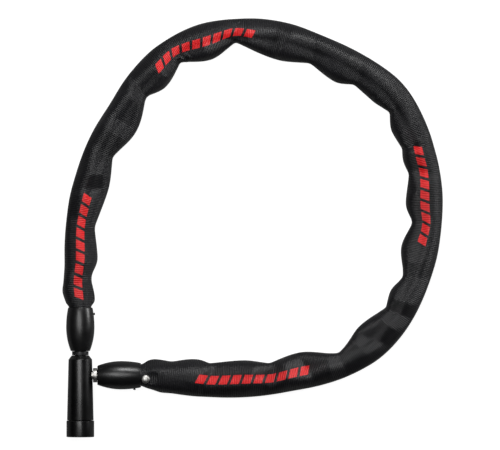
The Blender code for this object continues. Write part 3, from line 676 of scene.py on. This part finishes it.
class Sleeve:
    """The tube of cloth as a grid: point [i, j] is ring i along it, place j round it from the outer edge."""

    def __init__(self, chain):
        self.chain = chain
        start = FIXED_MOUTH - TUCK - FIXED_PIN[1]
        stop = chain.length - (FREE_MOUTH - TUCK - FREE_PIN[0])
        fine = np.linspace(start, stop, 4000)
        outline = chain.at(fine) - chain.inward(fine) * OUTER_PATH
        walked = lengths(outline)
        self.distances = np.interp(np.linspace(0, walked[-1], RINGS), walked, fine)
        self.middles = chain.at(self.distances)
        self.inwards = chain.inward(self.distances)
        self.step = LENGTH / (RINGS - 1)
        self.from_end = np.minimum(self.distances - start, stop - self.distances)
        self.round_share = 1 - smoothstep((self.from_end - TUCK) / GATHER)
        self.loft()

    def loft(self):
        """The first shape, from the two edges' reach."""
        inner = edge_reach(INNER_EDGE, self.distances, PINCH_SHARPNESS)
        outer = edge_reach(OUTER_EDGE, self.distances, 0.0) + OUTER_EXTRA
        self.points = np.zeros((RINGS, SIDES, 3))
        self.rest_around = np.zeros(RINGS)
        for i in range(RINGS):
            outline = section(outer[i], inner[i], self.middles[i, 2], self.round_share[i])
            ring, around = even_ring(outline, SIDES)
            self.points[i] = self.middles[i] * (1, 1, 0) + ring[:, :1] * self.inwards[i]
            self.points[i, :, 2] = ring[:, 1]
            wanted = AROUND_IN_CAP + (AROUND - AROUND_IN_CAP) * (1 - self.round_share[i])
            self.rest_around[i] = (0.5 * wanted + 0.5 * max(around, AROUND_IN_CAP)) / SIDES

    def across(self):
        """How far each point lies inwards of the chain."""
        return np.einsum("ijk,ik->ij", self.points - self.middles[:, None], self.inwards)

    def crease_lines(self):
        """Creases and ridges in turn: their places along the chain, their heights, and how far they lean."""
        generator = np.random.default_rng(11)
        pinches = [p for n, (p, r) in enumerate(INNER_EDGE[1:-1], 1)
                   if r < INNER_EDGE[n - 1][1] and r < INNER_EDGE[n + 1][1]]
        places, heights, leans = [], [], []
        for first, second in zip(pinches, pinches[1:]):
            panels = max(1, round((second - first) / PANEL_LENGTH))
            for number in range(panels):
                low = first + (second - first) * number / panels
                high = first + (second - first) * (number + 1) / panels
                places += [low, low + (high - low) * generator.uniform(*RIDGE_PLACE)]
                heights += [generator.uniform(*CREASES), generator.uniform(*RIDGES)]
                leans += [generator.uniform(-lean, lean) for lean in (CREASE_LEAN, RIDGE_LEAN)]
        return places, heights, leans

    def crease(self):
        """Folds the upper side into tilted panels: creases start at the pinches, with ridges between them."""
        places, heights, leans = self.crease_lines()
        across = self.across()
        lean = np.interp(self.distances, places, leans)[:, None]
        along = self.distances[:, None] + lean * (across - LEAN_ABOUT)
        tent = np.interp(along, places, heights)
        half = SIDES // 2
        upper = np.zeros(SIDES)
        upper[1:half] = np.sin(np.linspace(0, np.pi, half + 1))[1:-1] ** 0.55
        inwards = smoothstep((across - CREASE_SIDES[0]) / (CREASE_SIDES[1] - CREASE_SIDES[0]))
        share = CREASE_SHARE[0] + (CREASE_SHARE[1] - CREASE_SHARE[0]) * inwards
        away_from_caps = smoothstep((self.from_end - TUCK - CREASE_CLEAR) / CREASE_RISE)[:, None]
        self.points[:, :, 2] += tent * share * upper * away_from_caps
        for _ in range(ROUNDINGS):
            smooth(self.points, CREASE_ROUNDING)
        self.seat_rivet()

    def relax(self):
        """Lets the grid take its cut lengths over the chain and the floor, as cloth that hardly stretches."""
        points = self.points
        start = points.copy()
        around = self.rest_around[:, None, None]
        slant = np.sqrt(self.step ** 2 + self.rest_around[:-1] ** 2)[:, None, None]
        free = smoothstep((self.from_end - TUCK + 2) / 4.0)[:, None, None]   # 0 inside a cap
        inner = (0.5 - 0.5 * np.cos(2 * np.pi * np.arange(SIDES) / SIDES)) ** 4
        evenness = EVENNESS * (1 + SLACK_EVENNESS * inner[None, :, None])
        for _ in range(ROUNDS):
            before = points.copy()
            for first in (0, 1):
                last = first + (RINGS - first) // 2 * 2
                pull(points[first:last:2], points[first + 1:last:2], self.step, ALONG_PRESSED)
            pull(points[:, 0::2], points[:, 1::2], around, AROUND_PRESSED)
            pull(points[:, 1:-1:2], points[:, 2::2], around, AROUND_PRESSED)
            pull(points[:, -1:], points[:, :1], around, AROUND_PRESSED)
            shear(points, slant, SHEAR)
            stiffen(points, self.step, BENDING)
            smooth(points, evenness)
            points[:, :, 2] -= SETTLE
            self.keep_outside_chain()
            self.keep_open(start)
            self.seat_rivet()
            points[:] = before + (points - before) * free

    def keep_open(self, start):
        """Keeps the cloth off the floor, its two sides apart, and its edges near their outlines."""
        points = self.points
        half = SIDES // 2
        points[:, :, 2] = np.maximum(points[:, :, 2], FLOOR_GAP)
        lower = points[:, :half:-1, 2]
        points[:, 1:half, 2] = np.maximum(points[:, 1:half, 2], lower + LEAST_GAP)
        edges = [0, half - 1, half, half + 1]
        points[:, edges, :2] += (start[:, edges, :2] - points[:, edges, :2]) * EDGE_HOLD

    def keep_outside_chain(self):
        """Every second link is turned, so they act as a round bar: the cloth stays CORE from its middle."""
        points = self.points
        from_middle = points - self.middles[:, None]
        across = np.einsum("ijk,ik->ij", from_middle, self.inwards)
        up = from_middle[:, :, 2]
        reach = np.maximum(np.sqrt(across ** 2 + up ** 2), 0.1)
        grow = np.clip(CORE / reach - 1, 0, None)
        points += (across * grow)[:, :, None] * self.inwards[:, None]
        points[:, :, 2] += up * grow

    def seat_rivet(self):
        """The rivet holds the top layer down in a small dimple."""
        points = self.points
        gap = np.hypot(points[:, :, 0] - RIVET[0], points[:, :, 1] - RIVET[1])
        upper = points[:, :, 2] > AXIS_Z
        level = RIVET_SEAT + 0.16 * np.clip(gap - DIMPLE_R, 0, None) ** 1.35
        near = upper & (gap < DIMPLE_REACH)
        points[:, :, 2] = np.where(near, np.minimum(points[:, :, 2], level), points[:, :, 2])


def pull(first, second, rest, pressed):
    """Moves each pair of points towards its rest distance: firmly if it is stretched, less so if pressed."""
    gap = second - first
    length = np.linalg.norm(gap, axis=-1, keepdims=True)
    share = np.where(length > rest, STRETCHED, pressed)
    move = gap * (share * (length - rest) / (2 * np.maximum(length, 1e-6)))
    first += move
    second -= move


def shear(points, rest, share):
    """Brings both diagonals of each cell towards their rest length, gently."""
    move = np.zeros_like(points)
    turned_on = np.roll(points, -1, axis=1)
    for first, second, ends in (
        (points[:-1], turned_on[1:], (0, 1)),
        (turned_on[:-1], points[1:], (1, 0)),
    ):
        gap = second - first
        length = np.linalg.norm(gap, axis=-1, keepdims=True)
        step = gap * (share * (length - rest) / (2 * np.maximum(length, 1e-6)))
        move[:-1] += np.roll(step, ends[0], axis=1)
        move[1:] -= np.roll(step, ends[1], axis=1)
    points += move / 2


def stiffen(points, step, share):
    """Pushes second neighbours along the tube apart where the cloth bends too tightly."""
    first, second = points[:-2], points[2:]
    gap = second - first
    length = np.linalg.norm(gap, axis=-1, keepdims=True)
    short = np.minimum(length - 2 * step * 0.93, 0)
    move = gap * (share * short / (2 * np.maximum(length, 1e-6)))
    first += move / 2
    second -= move / 2


def smooth(points, share):
    """A little of the cloth's stiffness: each point moves towards the middle of its four neighbours."""
    mean = (np.roll(points, 1, axis=1) + np.roll(points, -1, axis=1))[1:-1] + points[:-2] + points[2:]
    points[1:-1] += (mean / 4 - points[1:-1]) * share


def refine(points):
    """Twice as many rings, on Catmull-Rom curves along the tube."""
    padded = np.concatenate([2 * points[:1] - points[1:2], points, 2 * points[-1:] - points[-2:-1]])
    between = (9 * (padded[1:-2] + padded[2:-1]) - padded[:-3] - padded[3:]) / 16
    out = np.zeros((2 * len(points) - 1, *points.shape[1:]))
    out[0::2] = points
    out[1::2] = between
    return out


def normals_of(points):
    """Outward normals of the grid."""
    along = np.gradient(points, axis=0)
    around = np.roll(points, -1, axis=1) - np.roll(points, 1, axis=1)
    normal = np.cross(around, along)
    normal /= np.maximum(np.linalg.norm(normal, axis=2, keepdims=True), 1e-9)
    outward = points - points.mean(axis=1, keepdims=True)
    if (normal * outward).sum() < 0:
        normal = -normal
    return normal


def wall_faces(rows):
    """The faces of a tube's wall of so many rings: the outside, the lining, and a rim at each end."""
    grid = np.arange(rows * SIDES).reshape(rows, SIDES)
    after = np.roll(grid, -1, axis=1)
    offset = rows * SIDES
    walls = np.stack([grid[:-1], after[:-1], after[1:], grid[1:]], axis=-1).reshape(-1, 4)
    near = np.stack([grid[0], grid[0] + offset, after[0] + offset, after[0]], axis=-1)
    far = np.stack([grid[-1], after[-1], after[-1] + offset, grid[-1] + offset], axis=-1)
    return np.concatenate([walls, walls[:, ::-1] + offset, near, far])


def add_weave(mesh, rows, first, step):
    """Gives each corner its place in the cut cloth, in metres: along it, and round it with one seam."""
    corners = np.zeros(len(mesh.loops), int)
    mesh.loops.foreach_get("vertex_index", corners)
    column = corners % SIDES
    has_first = (column.reshape(-1, 4) == 0).any(axis=1)
    has_last = (column.reshape(-1, 4) == SIDES - 1).any(axis=1)
    past_seam = np.repeat(has_first & has_last, 4) & (column == 0)
    row = corners % (rows * SIDES) // SIDES
    along = (first + row) * step * MM
    around = np.where(past_seam, SIDES, column) * SHEET_WIDTH / SIDES
    layer = mesh.uv_layers.new(name="weave")
    layer.data.foreach_set("uv", np.stack([along, around], axis=1).astype(np.float32).ravel())


def sleeve_mesh(name, outside, normals, first, last, step):
    """Rings first to last of the sleeve as one closed wall."""
    rows = last - first + 1
    outward = normals[first:last + 1]
    outer = outside[first:last + 1]
    inner = outer - outward * WALL
    points = np.concatenate([outer.reshape(-1, 3), inner.reshape(-1, 3)]) * MM
    faces = wall_faces(rows)
    side_a = points[faces[0, 1]] - points[faces[0, 0]]
    side_b = points[faces[0, 3]] - points[faces[0, 0]]
    if np.dot(np.cross(side_a, side_b), outward[0, 0]) < 0:
        faces = faces[:, ::-1]
    mesh = bpy.data.meshes.new(name)
    mesh.from_pydata(points.tolist(), [], faces.tolist())
    add_weave(mesh, rows, first, step)
    mesh.shade_smooth()
    outward = outward.reshape(-1, 3)
    mesh.normals_split_custom_set_from_vertices(np.concatenate([outward, -outward]).tolist())
    return mesh


def hinge_places(chain, bodies):
    """How far along the chain each hinge between two bodies in turn is."""
    hinges = {frozenset((j["parent"], j["child"])): j for j in frame["joints"]}
    pairs = [frozenset(pair) for pair in zip(bodies, bodies[1:])]
    return [chain.nearest(np.array(hinges[pair]["pos_m"]) / MM) for pair in pairs]


def bend_span(chain, places, number):
    """Where along the chain a section's span round its hinge starts and stops."""
    if number == 0:
        return END_BEND
    if number == len(places) - 1:
        return chain.length - END_BEND[1], chain.length - END_BEND[0]
    return places[number] - BEND_REACH, places[number] + BEND_REACH


def add_sleeve(chain):
    """The sleeve in sections, one across each hinge of the chain, that meet halfway between hinges."""
    sleeve = Sleeve(chain)
    cloth_lengths = np.interp(np.array(PRINTS), sleeve.distances, np.arange(RINGS) * sleeve.step)
    fabric = sleeve_fabric(cloth_lengths.tolist())
    sleeve.relax()
    sleeve.crease()
    points = refine(sleeve.points)
    points[:, :, 2] = np.maximum(points[:, :, 2], FLOOR_GAP)
    distances = np.interp(np.arange(len(points)) / 2, np.arange(RINGS), sleeve.distances)
    normals = normals_of(points)
    step = LENGTH / (len(points) - 1)
    bodies = ["lock_end", *[f"chain_{number}" for number in range(1, 10)], "free_end"]
    places = hinge_places(chain, bodies)
    halfway = [(before + after) / 2 for before, after in zip(places, places[1:])]
    borders = [0, *[int(np.abs(distances - place).argmin()) for place in halfway], len(points) - 1]
    for number, (one, other) in enumerate(zip(bodies, bodies[1:])):
        first, last = borders[number], borders[number + 1]
        name = f"sleeve_section_{number + 1:02d}"
        mesh = sleeve_mesh(name, points, normals, first, last, step)
        section_piece = piece(name, mesh, fabric)
        ends = chain.at(np.array(bend_span(chain, places, number))) * (1, 1, 0) * MM
        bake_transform(section_piece)
        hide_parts("fabric_sleeve")


# ---------------------------------------------------------------- CAD nodes that stay


def dress_nodes(steel, bright, dark, brass):
    """Gives every CAD node that stays its material, by its slot in the record."""
    looks = {"chain_steel": steel, "bright_steel": bright, "dark_steel": dark, "brass": brass}
    for part in frame["record"]["subparts"]:
        look = looks.get(part["material_slot"])
        if look is None:
            continue
        mesh = frame["nodes"][part["node"]].data
        mesh.materials.clear()
        mesh.materials.append(look)


# ---------------------------------------------------------------- floor, light and camera


def soft_light(name, towards, distance, size, power):
    """A rectangular light that faces the middle of the object from a direction."""
    data = bpy.data.lights.new(name, "AREA")
    data.shape = "RECTANGLE"
    data.size, data.size_y = size
    data.energy = power
    light = bpy.data.objects.new(name, data)
    bpy.context.scene.collection.objects.link(light)
    way = Vector(towards).normalized()
    light.location = way * distance
    light.rotation_euler = way.to_track_quat("Z", "Y").to_euler()


def add_floor():
    size = FLOOR_SIZE
    corners = [(-size, -size, 0), (size, -size, 0), (size, size, 0), (-size, size, 0)]
    mesh = bpy.data.meshes.new("floor")
    mesh.from_pydata(corners, [], [(0, 1, 2, 3)])
    floor = bpy.data.objects.new("floor", mesh)
    bpy.context.scene.collection.objects.link(floor)
    mesh.materials.append(pale_floor())


def add_world():
    """A world that the camera sees as bright as the floor, and that hardly lights the lock."""
    world = bpy.data.worlds.new("studio")
    bpy.context.scene.world = world
    world.use_nodes = True
    tree = world.node_tree
    seen = tree.nodes.new("ShaderNodeLightPath")
    strength = tree.nodes.new("ShaderNodeMapRange")
    strength.inputs["To Min"].default_value = WORLD_LIGHT
    strength.inputs["To Max"].default_value = FLOOR_GLOW
    tree.links.new(seen.outputs["Is Camera Ray"], strength.inputs["Value"])
    tree.links.new(strength.outputs["Result"], tree.nodes["Background"].inputs["Strength"])
    tree.nodes["Background"].inputs["Color"].default_value = (1.0, 1.0, 1.0, 1.0)


def add_camera():
    data = bpy.data.cameras.new("camera")
    data.sensor_width = SENSOR_WIDTH
    data.lens = SENSOR_WIDTH * CAMERA_HEIGHT / VIEW_WIDTH
    data.clip_end = 20.0
    camera = bpy.data.objects.new("camera", data)
    bpy.context.scene.collection.objects.link(camera)
    camera.location = (*VIEW_MIDDLE, CAMERA_HEIGHT + AXIS_Z * MM)
    bpy.context.scene.camera = camera
    bpy.context.scene.view_settings.view_transform = "Standard"


# ---------------------------------------------------------------- the whole lock

plastic = moulded_plastic("cap_plastic", (0.004, 0.004, 0.0043), 0.34)
paint = painted_metal("barrel_paint", (0.0014, 0.0014, 0.0016), 0.29)
steel = turned_steel("chain_steel", (0.34, 0.34, 0.35), 0.40)
bright = turned_steel("bright_steel", (0.52, 0.51, 0.49), 0.44)
dark = turned_steel("black_steel", (0.035, 0.035, 0.037), 0.42, 0.8)
brass = turned_steel("brass", (0.72, 0.53, 0.24), 0.34, 1.0, 1)

add_camera()
add_floor()
add_world()
for light in LIGHTS:
    soft_light(*light)
add_caps(plastic, dark)
add_barrel(paint, dark)
add_bolt(bright)
add_sleeve_rivet(bright)
dress_nodes(steel, bright, dark, brass)
add_sleeve(Chain())
